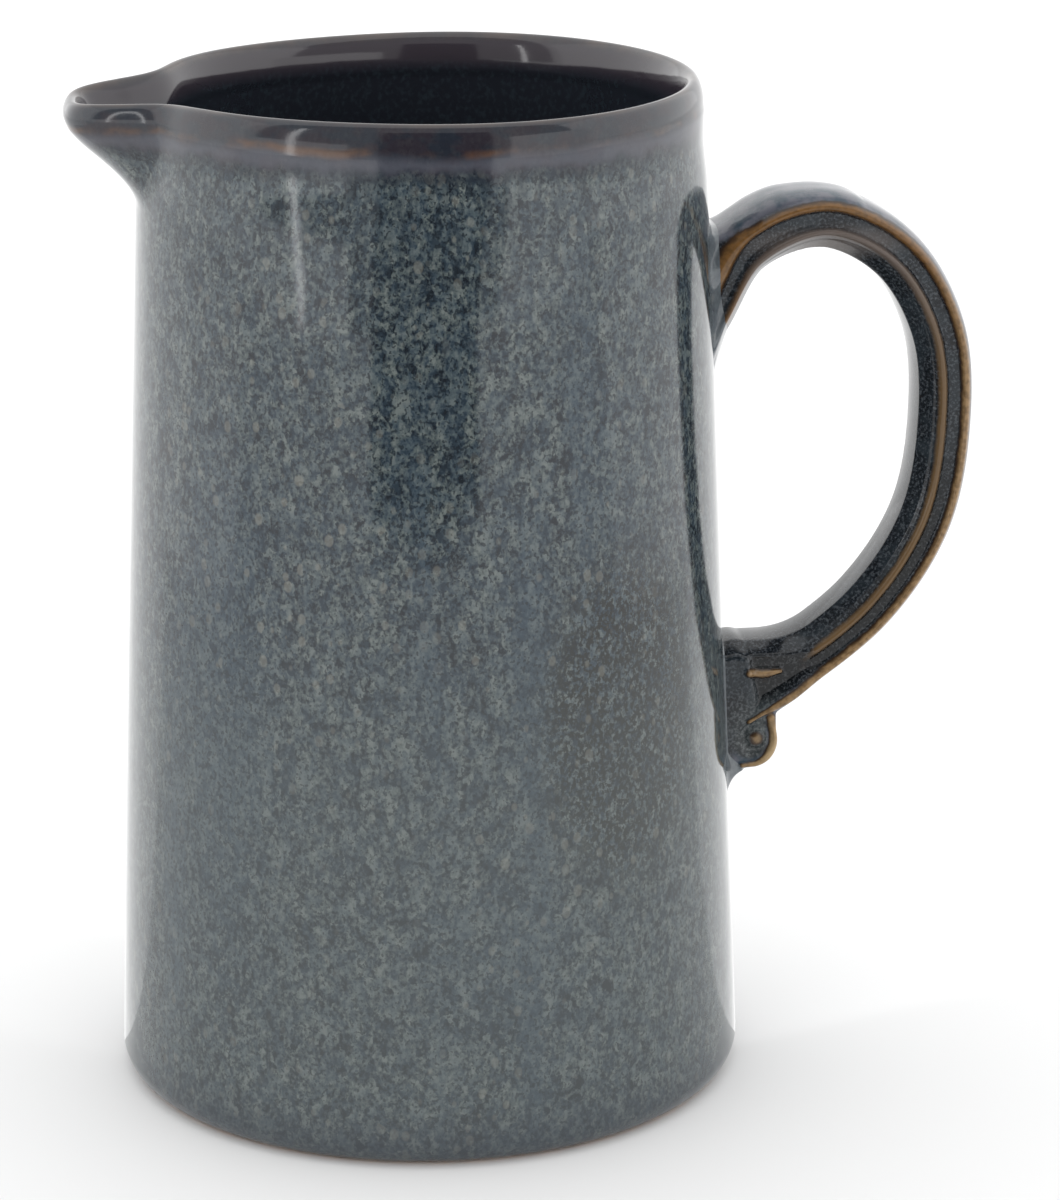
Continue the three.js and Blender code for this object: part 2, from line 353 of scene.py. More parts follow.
def side_fields(x, z):
    """What the side view fixes at each point of the XZ plane: how deep it lies under the crown side and
    under the loop side, the flank's half width, how domed the crown is, how far an outer and an inner
    ridge stand up there and how much painted shade darkens the glaze (the last three only colour it)."""
    along, left = centre_line.locate(x, z)
    low_side = z < 100
    lower_arm = smoothstep(86, 71, x) * low_side
    outer = OUTER_DEPTH - 0.8 * lower_arm - left
    outer = np.where(z > 120, np.maximum(outer, np.minimum(-root_top.locate(x, z)[1], 87 - x)), outer)
    web = np.minimum(WEB_EDGE - x, z - SCROLL["z"])
    disc = SCROLL["radius"] - np.hypot(x - SCROLL["x"], z - SCROLL["z"])
    pad = np.minimum(PAD["face"] - x, z - PAD["bottom"])
    terminal = smooth_max(smooth_max(web, disc, 0.4), pad, 2.0)
    outer = np.where(low_side, smooth_max(outer, terminal, 0.5), outer)
    inner = INNER_DEPTH + left
    pad_top = PAD["top"] + 0.35 * bump(x - 58.4, 2.0) - z
    inner = np.where(low_side, smooth_max(inner, pad_top, 3.0), inner)
    outer_ridge, inner_ridge = strap_ridges(x, z, along, left)
    flank = GROOVE_HALF + BEAD_HEIGHT["outer"] * outer_ridge + BEAD_HEIGHT["inner"] * inner_ridge
    flank = flank * strap_widening(z)
    scroll_half, scroll_ridge, panel = scroll_flank(x, z)
    to_scroll = smoothstep(76, 69, x) * smoothstep(95, 88, z)
    # Painted shade: the inner half of the lower arm's groove and the sunk panel at the scroll are darkened
    # in the colour, standing in for dark reflections
    shaded_groove = smoothstep(2.3, 1.0, left) * smoothstep(128, 96, z) * smoothstep(-2.6, -0.6, left)
    painted_shade = mix(shaded_groove, panel, to_scroll)
    return (
        outer,
        inner,
        mix(flank, scroll_half, to_scroll),
        1 - lower_arm,
        mix(outer_ridge, scroll_ridge, to_scroll),
        mix(inner_ridge, 0, to_scroll),
        painted_shade,
    )


def strap_ridges(x, z, along, left):
    """The two beads of the strap's flank. They draw apart towards the upper root, where the outer one
    opens into a facet."""
    outer_at = mix(1.9, 3.1, smoothstep(0, 34, along))
    inner_at = mix(-3.5, -1.4, smoothstep(-2, 46, along))
    opening = 1.3 * smoothstep(61, 55, x) * (z > 120)
    outer_bead = bump(left - outer_at, BEAD_RADIUS["outer"] + opening)
    return outer_bead, bump(left - inner_at, BEAD_RADIUS["inner"])


def scroll_flank(x, z):
    """Half width, ridges and sunk panel of the lower end: a panel with a short ridge above a scroll."""
    lower_along, lower_gap = lower_border.locate(x, z)
    from_face = x - mix(60.6, 62.0, smoothstep(78, 69, z))
    panel_depth = np.minimum(np.minimum(78.9 - z, -lower_gap - 1.7), from_face)
    panel = smoothstep(-0.7, 1.3, panel_depth)
    short_along, short_gap = short_ridge.locate(x, z)
    short = bump(short_gap, mix(1.1, 0.55, smoothstep(3, 6.4, short_along)))
    lower = bump(lower_gap, mix(1.25, 0.5, smoothstep(8, 17, lower_along)))
    lobe_along, lobe_gap = lobe_bead.locate(x, z)
    lobe = bump(lobe_gap, mix(1.25, 0.7, smoothstep(8, 12, lobe_along)))
    border = bump(upper_border.locate(x, z)[1], 1.9)
    from_eye = np.hypot(x - EYE[0], z - EYE[1])
    eye = bump(from_eye, 1.9)
    groove = bump(from_eye - 2.6, 1.0) * smoothstep(0.2, 1.0, lower_gap)
    half = mix(FLANK - 0.35, PANEL, panel)
    half = half + 0.35 * border + 0.75 * lower + 0.95 * short + 0.7 * lobe + 0.5 * eye - 0.5 * groove
    return half, np.maximum.reduce([lower, short, lobe, 0.7 * eye]), panel


class SideView:
    """The side fields on a fine XZ grid, read between its points by blending, which is much faster."""

    STEP = 0.2  # grid spacing in millimetres

    def __init__(self, low, high):
        self.low = low
        axes = [np.arange(a, b + self.STEP, self.STEP) for a, b in zip(low, high)]
        self.fields = np.stack(side_fields(*np.meshgrid(*axes, indexing="ij")))

    def at(self, x, z):
        u = (x - self.low[0]) / self.STEP + 0 * z
        v = (z - self.low[1]) / self.STEP + 0 * x
        i = np.clip(np.floor(u).astype(int), 0, self.fields.shape[1] - 2)
        j = np.clip(np.floor(v).astype(int), 0, self.fields.shape[2] - 2)
        s, t = u - i, v - j
        f = self.fields
        return mix(mix(f[:, i, j], f[:, i + 1, j], s), mix(f[:, i, j + 1], f[:, i + 1, j + 1], s), t)


def wall_distance(x, y, z):
    """How far a point is outside the tapered wall."""
    return (np.hypot(x, y) - wall_radius(z)) * WALL_SLANT


side_view = SideView((46.0, 48.0), (107.0, 174.0))


def handle_field(x, y, z):
    """Negative inside the handle, positive outside, close to a distance in millimetres."""
    outer, inner, flank, strap_share = side_view.at(x, z)[:4]
    across = np.abs(y) / strap_widening(z)
    dome = 1.25 * (across / 7.6) ** 3 * strap_share
    chamfer_share = mix(0.4, 0.85, smoothstep(62, 78, x))
    chamfer = chamfer_share * np.clip(across - 4.4, 0, None) + 0.012 * across**2
    crown_or_loop = smooth_max(dome - outer, chamfer - inner, 0.4)
    return smooth_max(crown_or_loop, np.abs(y) - flank, 0.7)


def net_vertices(values):
    """The vertex of each grid cell that the surface crosses, in cells, and each cell's vertex number."""
    inside = values < 0
    nx, ny, nz = values.shape
    total = np.zeros((nx - 1, ny - 1, nz - 1, 3))
    count = np.zeros((nx - 1, ny - 1, nz - 1))
    corners = [(a, b, c) for a in (0, 1) for b in (0, 1) for c in (0, 1)]

    def block(array, a, b, c):
        return array[a:nx - 1 + a, b:ny - 1 + b, c:nz - 1 + c]

    for p in corners:
        for axis in range(3):
            if p[axis]:
                continue
            q = tuple(v + (i == axis) for i, v in enumerate(p))
            crosses = block(inside, *p) != block(inside, *q)
            va, vb = block(values, *p)[crosses], block(values, *q)[crosses]
            t = va / (va - vb)
            spot = np.tile(np.asarray(p, float), (len(t), 1))
            spot[:, axis] = t
            total[crosses] += spot
            count[crosses] += 1
    used = count > 0
    index = np.full(used.shape, -1)
    index[used] = np.arange(used.sum())
    return np.argwhere(used) + total[used] / count[used][:, None], index


def net_faces(inside, index):
    """A quad around each grid edge that the surface crosses, facing out."""
    faces = []
    for axis in range(3):
        u, v = (axis + 1) % 3, (axis + 2) % 3
        near = [slice(1, n - 1) for n in inside.shape]
        near[axis] = slice(0, inside.shape[axis] - 1)
        far = list(near)
        far[axis] = slice(1, inside.shape[axis])
        a, b = inside[tuple(near)], inside[tuple(far)]
        for entering in (True, False):
            at = np.argwhere((a & ~b) if entering else (~a & b))
            at[:, u] += 1
            at[:, v] += 1
            ring = []
            for du, dv in ((-1, -1), (0, -1), (0, 0), (-1, 0)):
                cell = at.copy()
                cell[:, u] += du
                cell[:, v] += dv
                ring.append(index[tuple(cell.T)])
            quad = np.stack(ring, -1)
            faces.append(quad if entering else quad[:, ::-1])
    return np.concatenate(faces)


def settle(vertices, field, step):
    """Moves vertices onto the surface where a field is zero, in three short steps."""
    nudge = step * 0.05
    for _ in range(3):
        here = field(*vertices.T)
        slope = np.stack([
            (field(*(vertices + offset).T) - field(*(vertices - offset).T)) / (2 * nudge)
            for offset in np.eye(3) * nudge
        ], -1)
        size = np.maximum((slope**2).sum(-1), 0.25)
        move = -slope * (here / size)[:, None]
        reach = np.linalg.norm(move, axis=1, keepdims=True)
        vertices = vertices + move * np.minimum(1, 0.5 * step / np.maximum(reach, 1e-9))
    return vertices


def surface_nets(field, low, high, step):
    """A closed quad mesh of the surface where a field is zero."""
    axes = [np.arange(a, b + step, step) for a, b in zip(low, high)]
    values = field(*np.meshgrid(*axes, indexing="ij", sparse=True))
    in_cells, index = net_vertices(values)
    vertices = in_cells * step + np.array([a[0] for a in axes])
    return settle(vertices, field, step), net_faces(values < 0, index)


def build_handle():
    """The handle, cut off a little inside the wall."""
    def field(x, y, z):
        return np.maximum(handle_field(x, y, z), -HANDLE_SUNK - wall_distance(x, y, z))

    (x0, y0, z0), (x1, y1, z1) = (np.array(c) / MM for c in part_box("handle"))
    margin = 3.0
    low = (x0 - margin, y0 - margin, z0 - margin)
    high = (x1 + margin, y1 + margin, z1 + margin)
    vertices, faces = surface_nets(field, low, high, HANDLE_CELL)
    handle = make_object("pitcher_handle", vertices, faces.tolist(), "handle")
    x, y, z = vertices.T
    outer, _, flank, _, outer_ridge, inner_ridge, painted_shade = side_view.at(x, z)
    on_flank = smoothstep(2.6, 1.0, flank - np.abs(y))
    add_attribute(handle, "outer_ridge", outer_ridge * on_flank)
    add_attribute(handle, "inner_ridge", inner_ridge * on_flank)
    # Painted shade share, which darkens the glaze in the sunk panel and the lower groove
    add_attribute(handle, "painted_shade", painted_shade * on_flank)
    add_attribute(handle, "crown", smoothstep(2.4, 1.4, outer))
    return handle


def fillet_field(x, y, z, radius):
    """A cove of glazed slip in the corner between the wall and the handle."""
    from_wall = wall_distance(x, y, z)
    from_handle = handle_field(x, y, z)
    reach = radius + 0.2
    cove = reach - np.hypot(radius - from_wall, radius - from_handle)
    outermost = [from_wall - radius, from_handle - radius]
    deepest = [-FILLET_SUNK - from_wall, -FILLET_SUNK - from_handle]
    return np.maximum.reduce([cove, *outermost, *deepest])


def upper_fillet_radius(z):
    """Wide below the upper root and slimmer beside it."""
    return mix(4.8, 3.0, smoothstep(138, 150, z))


def lower_fillet_radius(z):
    """Wide below the lower root and slim beside it."""
    return mix(4.8, 1.1, smoothstep(55.5, 60, z))


def build_fillet(name, node, radius_at):
    """A fillet whose radius depends on the height."""
    def field(x, y, z):
        return fillet_field(x, y, z, radius_at(z))

    (x0, y0, z0), (x1, y1, z1) = (np.array(c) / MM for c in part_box(node))
    margin = 5.5
    low = (x0 - 2, y0 - margin, z0 - margin)
    high = (x1 + 3, y1 + margin, z1 + margin)
    vertices, faces = surface_nets(field, low, high, FILLET_CELL)
    return make_object(name, vertices, faces.tolist(), node)


# ---- Camera, stage and light ----

CAMERA_DISTANCE = 809.4  # millimetres, as is the height
CAMERA_HEIGHT = 334.9
CAMERA_PITCH = math.radians(16.82)
CAMERA_YAW = math.radians(1.389)
CAMERA_ROLL = math.radians(-0.195)
FOCAL_OVER_FRAME = 4486.8 / 1200
TURN = math.radians(7)  # the handle points this much away from the camera
SENSOR = 36  # height of the camera's sensor in millimetres
FLOOR_HALF = 4.0  # metres, as are the panels' sizes and distances
FLOOR_GREY = (0.78, 0.78, 0.78, 1)
WORLD_STRENGTH = 1.4
PANEL_LIFT = 0.002  # height of the floor sheets, and of an upright panel's lower edge unless given


def build_camera():
    data = bpy.data.cameras.new("camera")
    data.sensor_fit = "VERTICAL"
    data.sensor_height = SENSOR
    data.lens = SENSOR * FOCAL_OVER_FRAME
    data.clip_end = 20
    camera = bpy.data.objects.new("camera", data)
    forward = Vector((
        math.sin(CAMERA_YAW) * math.cos(CAMERA_PITCH),
        math.cos(CAMERA_YAW) * math.cos(CAMERA_PITCH),
        -math.sin(CAMERA_PITCH),
    ))
    right = Vector((math.cos(CAMERA_YAW), -math.sin(CAMERA_YAW), 0))
    up = right.cross(forward)
    rolled_right = right * math.cos(CAMERA_ROLL) + up * math.sin(CAMERA_ROLL)
    rolled_up = up * math.cos(CAMERA_ROLL) - right * math.sin(CAMERA_ROLL)
    pose = Matrix((
        (rolled_right.x, rolled_up.x, -forward.x, 0),
        (rolled_right.y, rolled_up.y, -forward.y, -CAMERA_DISTANCE * MM),
        (rolled_right.z, rolled_up.z, -forward.z, CAMERA_HEIGHT * MM),
        (0, 0, 0, 1),
    ))
    camera.matrix_world = Matrix.Rotation(-TURN, 4, "Z") @ pose
    bpy.context.scene.collection.objects.link(camera)
    bpy.context.scene.camera = camera


def build_stage():
    """The pale floor that the pitcher stands on."""
    half = FLOOR_HALF
    corners = [(-half, -half, 0), (half, -half, 0), (half, half, 0), (-half, half, 0)]
    mesh = bpy.data.meshes.new("floor")
    mesh.from_pydata(corners, [], [(0, 1, 2, 3)])
    floor = bpy.data.objects.new("floor", mesh)
    bpy.context.scene.collection.objects.link(floor)
    material = bpy.data.materials.new("floor")
    material.use_nodes = True
    shader = material.node_tree.nodes["Principled BSDF"]
    shader.inputs["Base Color"].default_value = FLOOR_GREY
    shader.inputs["Roughness"].default_value = 0.8
    mesh.materials.append(material)


def build_world():
    world = bpy.data.worlds.new("studio")
    bpy.context.scene.world = world
    world.use_nodes = True
    background = world.node_tree.nodes["Background"]
    background.inputs["Color"].default_value = (1, 1, 1, 1)
    background.inputs["Strength"].default_value = WORLD_STRENGTH


def panel(name, corners, azimuth_deg, material):
    """A studio panel, turned about the pitcher's axis from the camera's side: seen only in the gloss."""
    mesh = bpy.data.meshes.new(name)
    mesh.from_pydata(corners, [], [(0, 1, 2, 3)])
    mesh.materials.append(material)
    thing = bpy.data.objects.new(name, mesh)
    thing.matrix_world = Matrix.Rotation(math.radians(azimuth_deg) - TURN, 4, "Z")
    bpy.context.scene.collection.objects.link(thing)
    for ray in ("visible_camera", "visible_diffuse", "visible_shadow", "visible_transmission"):
        setattr(thing, ray, False)


def upright_panel(name, azimuth_deg, distance, width, top, material, bottom=PANEL_LIFT):
    x, y = width / 2, -distance
    corners = [(-x, y, bottom), (x, y, bottom), (x, y, top), (-x, y, top)]
    panel(name, corners, azimuth_deg, material)


def floor_sheet(name, azimuth_deg, near, far, near_half, far_half, material):
    """A panel lying on the floor, from a near to a far distance, each with its half width."""
    near_edge = [(-near_half, -near, PANEL_LIFT), (near_half, -near, PANEL_LIFT)]
    far_edge = [(far_half, -far, PANEL_LIFT), (-far_half, -far, PANEL_LIFT)]
    panel(name, near_edge + far_edge, azimuth_deg, material)


def glow_material(name, strength):
    """White light of one strength."""
    material = bpy.data.materials.new(name)
    material.use_nodes = True
    tree = material.node_tree
    tree.nodes.clear()
    glow = tree.nodes.new("ShaderNodeEmission")
    glow.inputs["Strength"].default_value = strength
    output = tree.nodes.new("ShaderNodeOutputMaterial")
    tree.links.new(glow.outputs["Emission"], output.inputs["Surface"])
    return material


def build_panels():
    """Bright panels all round, with a dark gap between the two at the front and a narrow window strip."""
    dark = glow_material("dark_gap", 0.03)
    dim = glow_material("dim_wall", 0.55)
    soft = glow_material("soft_panel", 1.5)
    bright = glow_material("bright_panel", 1.75)
    pale = glow_material("pale_wall", 1.4)
    window = glow_material("window_strip", 5.0)
    floor_sheet("gap_below", 0, 0.62, 1.35, 0.225, 0.49, dark)
    floor_sheet("left_floor", -95, 0.45, 1.6, 0.18, 0.65, soft)
    floor_sheet("right_floor", 95, 0.45, 1.6, 0.18, 0.65, soft)
    floor_sheet("back_floor", 180, 0.0, 2.2, 0.06, 4.2, pale)
    upright_panel("gap", 0, 1.35, 0.98, 1.2, dark)
    upright_panel("left_panel", -47, 1.3, 0.9, 0.28, soft)
    upright_panel("right_panel", 47, 1.3, 0.9, 0.6, soft)
    upright_panel("wall_behind_camera", 0, 1.6, 6.0, 4.0, dim)
    upright_panel("window", -46.5, 1.25, 0.06, 1.1, window, bottom=0.048)
    upright_panel("left_side", -112, 1.6, 3.2, 2.0, bright)
    upright_panel("right_side", 104, 1.6, 3.2, 2.0, bright)
    upright_panel("back_wall", 180, 2.2, 7.0, 2.0, pale)


# ---- Glaze ----

class NodeTree:
    """Short ways to add the nodes that the glazes use."""

    def __init__(self, name):
        self.material = bpy.data.materials.new(name)
        self.material.use_nodes = True
        self.tree = self.material.node_tree
        self.shader = self.tree.nodes["Principled BSDF"]
        self.place = self.add("ShaderNodeTexCoord").outputs["Object"]

    def add(self, kind, **settings):
        node = self.tree.nodes.new(kind)
        for key, value in settings.items():
            setattr(node, key, value)
        return node

    def put(self, socket, value):
        """Links or sets a socket."""
        if isinstance(value, bpy.types.NodeSocket):
            self.tree.links.new(value, socket)
        elif isinstance(value, tuple) and len(value) == 3 and socket.type == "RGBA":
            socket.default_value = (*value, 1)
        else:
            socket.default_value = value

    def math(self, operation, a, b=0.0, c=0.0):
        node = self.add("ShaderNodeMath", operation=operation)
        for socket, value in zip(node.inputs, (a, b, c)):
            self.put(socket, value)
        return node.outputs[0]

    def step(self, value, low, high, to_low=0.0, to_high=1.0):
        """A smooth rise from to_low at low to to_high at high."""
        node = self.add("ShaderNodeMapRange", interpolation_type="SMOOTHSTEP")
        for socket, number in zip(node.inputs, (value, low, high, to_low, to_high)):
            self.put(socket, number)
        return node.outputs[0]

    def blend(self, share, a, b):
        """The colour a where share is 0, and b where it is 1."""
        node = self.add("ShaderNodeMix", data_type="RGBA", blend_type="MIX")
        factor, first, second = node.inputs[0], node.inputs[6], node.inputs[7]
        self.put(factor, share)
        self.put(first, a)
        self.put(second, b)
        return node.outputs[2]

    def stretched(self, x, y, z, shift=0.0):
        """Object coordinates in units of the given lengths in millimetres."""
        node = self.add("ShaderNodeMapping")
        self.put(node.inputs["Vector"], self.place)
        node.inputs["Scale"].default_value = (1000 / x, 1000 / y, 1000 / z)
        node.inputs["Location"].default_value = (shift, shift, shift)
        return node.outputs[0]

    def noise(self, x, y, z, detail=2.0, roughness=0.5, shift=0.0):
        """Noise between 0 and 1 with features of about the given lengths in millimetres."""
        node = self.add("ShaderNodeTexNoise")
        self.put(node.inputs["Vector"], self.stretched(x, y, z, shift))
        node.inputs["Scale"].default_value = 1.0
        node.inputs["Detail"].default_value = detail
        node.inputs["Roughness"].default_value = roughness
        return node.outputs[0]

    def flecks(self, size, tall, share, shift=0.0):
        """Round spots of uneven size in cells of the given size; share is how many cells hold one."""
        node = self.add("ShaderNodeTexVoronoi", feature="F1")
        self.put(node.inputs["Vector"], self.stretched(size, size, size * tall, shift))
        node.inputs["Scale"].default_value = 1.0
        chance = self.add("ShaderNodeSeparateColor")
        self.put(chance.inputs[0], node.outputs["Color"])
        radius = self.step(chance.outputs[0], 1 - share, 1.0, 0.0, 0.42)
        return self.step(self.math("SUBTRACT", radius, node.outputs["Distance"]), -0.03, 0.12)

    def pebbles(self, size, tall, shift=0.0):
        """Small soft-edged cells, each with a random value between 0 and 1."""
        sway = self.add("ShaderNodeVectorMath", operation="MULTIPLY_ADD")
        wander = self.add("ShaderNodeTexNoise")
        self.put(wander.inputs["Vector"], self.stretched(0.9, 0.9, 1.1, shift + 83.0))
        wander.inputs["Scale"].default_value = 1.0
        self.put(sway.inputs[0], wander.outputs["Color"])
        sway.inputs[1].default_value = (0.9, 0.9, 0.9)
        self.put(sway.inputs[2], self.stretched(size, size, size * tall, shift))
        node = self.add("ShaderNodeTexVoronoi", feature="F1")
        self.put(node.inputs["Vector"], sway.outputs[0])
        node.inputs["Scale"].default_value = 1.0
        value = self.add("ShaderNodeSeparateColor")
        self.put(value.inputs[0], node.outputs["Color"])
        return value.outputs[1]

    def ramp(self, value, stops):
        """A colour that runs through the stops, each a position and a colour."""
        node = self.add("ShaderNodeValToRGB")
        node.color_ramp.elements.remove(node.color_ramp.elements[0])
        for index, (position, color) in enumerate(stops):
            elements = node.color_ramp.elements
            element = elements.new(position) if index else elements[0]
            element.position = position
            element.color = (*color, 1)
        self.put(node.inputs[0], value)
        return node.outputs["Color"]

    def height(self):
        """Height above the floor in millimetres."""
        node = self.add("ShaderNodeSeparateXYZ")
        self.put(node.inputs[0], self.place)
        return self.math("MULTIPLY", node.outputs["Z"], 1000.0)

    def attribute(self, name):
        return self.add("ShaderNodeAttribute", attribute_name=name).outputs["Fac"]

    def patch(self, centre_mm, radii_mm):
        """A soft round area, 1 at its centre and 0 from its radii outwards."""
        node = self.add("ShaderNodeMapping", vector_type="TEXTURE")
        self.put(node.inputs["Vector"], self.place)
        node.inputs["Location"].default_value = [v * MM for v in centre_mm]
        node.inputs["Scale"].default_value = [v * MM for v in radii_mm]
        length = self.add("ShaderNodeVectorMath", operation="LENGTH")
        self.put(length.inputs[0], node.outputs[0])
        return self.step(length.outputs["Value"], 1.0, 0.15)


GLAZE_IOR = 1.55
HANDLE_IOR = 1.42  # a softer gloss than the body's
GLAZE_ROUGHNESS = 0.10
RELIEF_STRENGTH = 0.5
RELIEF_DEPTH = 0.00012  # metres

BLACK_BLUE = (0.010, 0.014, 0.019)
SLATE = (0.031, 0.042, 0.051)
GREY_GREEN = (0.066, 0.082, 0.083)
PALE = (0.120, 0.138, 0.134)
CREAM = (0.20, 0.195, 0.165)
BLUE = (0.034, 0.056, 0.078)
NAVY = (0.013, 0.016, 0.024)
PIT_BLACK = (0.012, 0.013, 0.012)
# Pale grey for the fillets: pooled glaze, and partly a painted highlight of the sheen along the concave
# fillets
POOLED_GREY_AND_SHEEN = (0.115, 0.130, 0.145)
PURPLE_BROWN = (0.019, 0.015, 0.021)
ORANGE_BROWN = (0.105, 0.050, 0.023)
LAVENDER = (0.110, 0.113, 0.138)
CREST_BROWN = (0.060, 0.045, 0.040)
INSIDE_PLUM = (0.034, 0.028, 0.036)
INSIDE_NAVY = (0.0150, 0.0175, 0.0240)
INSIDE_SLATE = (0.021, 0.029, 0.037)
FOOT_SLATE = (0.030, 0.038, 0.050)
BARE_CLAY = (0.32, 0.18, 0.10)

HANDLE_SPECKLE = [
    (0.42, (0.006, 0.008, 0.010)),
    (0.52, (0.014, 0.017, 0.022)),
    (0.62, (0.060, 0.068, 0.076)),
]
SCROLL_SPECKLE = ((0.060, 0.070, 0.072), (0.150, 0.165, 0.160))
# Near-black speckle painted as shade in the handle's sunk panel and lower groove
PAINTED_SHADE_SPECKLE = ((0.003, 0.004, 0.005), (0.034, 0.036, 0.038))
MILKY_BROWN = (0.170, 0.145, 0.132)
PINK_TAN = (0.105, 0.082, 0.070)
DULL_TAN = (0.13, 0.078, 0.034)
TAN = (0.25, 0.16, 0.078)
PALE_TAN = (0.48, 0.36, 0.20)
GOLDEN_BROWN = (0.150, 0.075, 0.024)
BROWN = (0.066, 0.036, 0.014)
DARK_BROWN = (0.030, 0.017, 0.010)


def pebbly_ground(t):
    """Slate and grey-green pebbles with bluer runs, streaked with slate towards the rim."""
    pebbles = t.pebbles(1.25, 1.35, shift=2.0)
    grain = t.noise(0.8, 0.8, 1.0, detail=2.0, roughness=0.6)
    broad = t.noise(3.0, 3.0, 4.4, detail=2.0, shift=7.0)
    uneven = t.math("MULTIPLY_ADD", grain, 0.55, t.math("MULTIPLY", broad, 0.30))
    mottle = t.math("MULTIPLY_ADD", pebbles, 0.16, uneven)
    color = t.ramp(mottle, [(0.40, BLACK_BLUE), (0.46, SLATE), (0.54, GREY_GREEN), (0.64, PALE)])
    tint = t.step(t.noise(2.0, 2.0, 3.0, detail=1.0, shift=53.0), 0.40, 0.62, 0.0, 0.35)
    color = t.blend(tint, color, BLUE)
    runs = t.noise(15.0, 15.0, 160.0, detail=3.0, roughness=0.6, shift=3.0)
    bluer = t.math("MAXIMUM", t.step(runs, 0.52, 0.70), t.patch((-42, -37, 85), (17, 17, 75)))
    color = t.blend(t.math("MULTIPLY", bluer, 0.40), color, BLUE)
    streaks = t.step(t.noise(1.1, 1.1, 16.0, detail=2.0, shift=61.0), 0.46, 0.62)
    near_rim = t.step(t.height(), 150.0, 184.0, 0.0, 0.55)
    return t.blend(t.math("MULTIPLY", streaks, near_rim), color, SLATE)


def dark_marks(t, color):
    """Two broad patches of dark pits, and fine dark specks all over."""
    front = t.patch((31, -47, 80), (28, 28, 46))
    back = t.patch((-12, 56, 110), (28, 28, 46))
    pitted = t.step(t.math("MAXIMUM", front, back), 0.0, 0.7)
    pits = t.step(t.noise(0.9, 0.9, 1.1, detail=3.0, roughness=0.7, shift=19.0), 0.46, 0.53)
    color = t.blend(t.math("MULTIPLY", pitted, pits), color, PIT_BLACK)
    specks = t.step(t.noise(0.62, 0.62, 0.72, detail=1.0, shift=71.0), 0.57, 0.63, 0.0, 0.75)
    return t.blend(specks, color, BLACK_BLUE)


def pale_marks(t, color):
    """Clouds of cream flecks, smaller pale ones between them, and a paler lower half."""
    fleck_zone = t.patch((-30, -46, 118), (40, 40, 85))
    cloud = t.step(t.noise(26.0, 26.0, 40.0, detail=2.0, shift=11.0), 0.42, 0.62, 0.15, 0.8)
    cloud = t.math("MAXIMUM", cloud, fleck_zone)
    big = t.math("MULTIPLY", t.flecks(2.3, 1.35, 0.62, shift=5.0), cloud)
    color = t.blend(t.math("MULTIPLY", big, 0.40), color, CREAM)
    small = t.math("MULTIPLY", t.flecks(1.3, 1.2, 0.55, shift=31.0), 0.22)
    color = t.blend(small, color, PALE)
    return t.blend(t.step(t.height(), 115.0, 60.0, 0.0, 0.22), color, PALE)


def mottled_glaze(t):
    """The reactive glaze of the outside: pebbly slate and grey-green with dark specks and cream flecks."""
    return pale_marks(t, dark_marks(t, pebbly_ground(t)))


def finish_glaze(t, color, ior=GLAZE_IOR):
    """A thick clear gloss over the colour, with the faint waviness of fired glaze."""
    t.put(t.shader.inputs["Base Color"], color)
    t.shader.inputs["IOR"].default_value = ior
    t.shader.inputs["Roughness"].default_value = GLAZE_ROUGHNESS
    waves = t.noise(7.0, 7.0, 9.0, detail=1.0, shift=41.0)
    grain = t.noise(0.7, 0.7, 0.8, detail=1.0, shift=47.0)
    relief = t.math("ADD", waves, t.math("MULTIPLY", grain, 0.05))
    node = t.add("ShaderNodeBump")
    node.inputs["Strength"].default_value = RELIEF_STRENGTH
    node.inputs["Distance"].default_value = RELIEF_DEPTH
    t.put(node.inputs["Height"], relief)
    t.put(t.shader.inputs["Normal"], node.outputs[0])
    return t.material


def rim_band(t, color, past_crest, ragged):
    """Dark slate and purple-brown below the crest, breaking to rust and then to a milky haze."""
    at_rim = t.math("ADD", past_crest, ragged)
    band = t.step(at_rim, -11.0, -8.0)
    rim = t.blend(t.step(t.noise(5.0, 5.0, 3.0, detail=3.0, shift=2.0), 0.4, 0.6), NAVY, PURPLE_BROWN)
    wander = t.math("MULTIPLY_ADD", t.noise(12.0, 12.0, 12.0, detail=2.0, shift=67.0), 3.0, past_crest)
    rust = t.math("MULTIPLY", t.step(wander, -5.4, -4.2), t.step(wander, -2.8, -4.0))
    rusty = t.noise(15.0, 15.0, 9.0, detail=4.0, roughness=0.6, shift=13.0)
    rust_share = t.step(rusty, 0.40, 0.62, 0.0, 0.75)
    rim = t.blend(t.math("MULTIPLY", rust, rust_share), rim, ORANGE_BROWN)
    milky = t.math("MULTIPLY", t.step(at_rim, -10.0, -7.5), t.step(wander, -3.6, -6.0))
    rim = t.blend(t.math("MULTIPLY", milky, 0.45), rim, LAVENDER)
    color = t.blend(t.math("MULTIPLY", band, 0.92), color, rim)
    seam = t.math("MULTIPLY", t.step(at_rim, -11.4, -10.3), t.step(at_rim, -9.2, -10.3))
    return t.blend(t.math("MULTIPLY", seam, 0.45), color, NAVY)


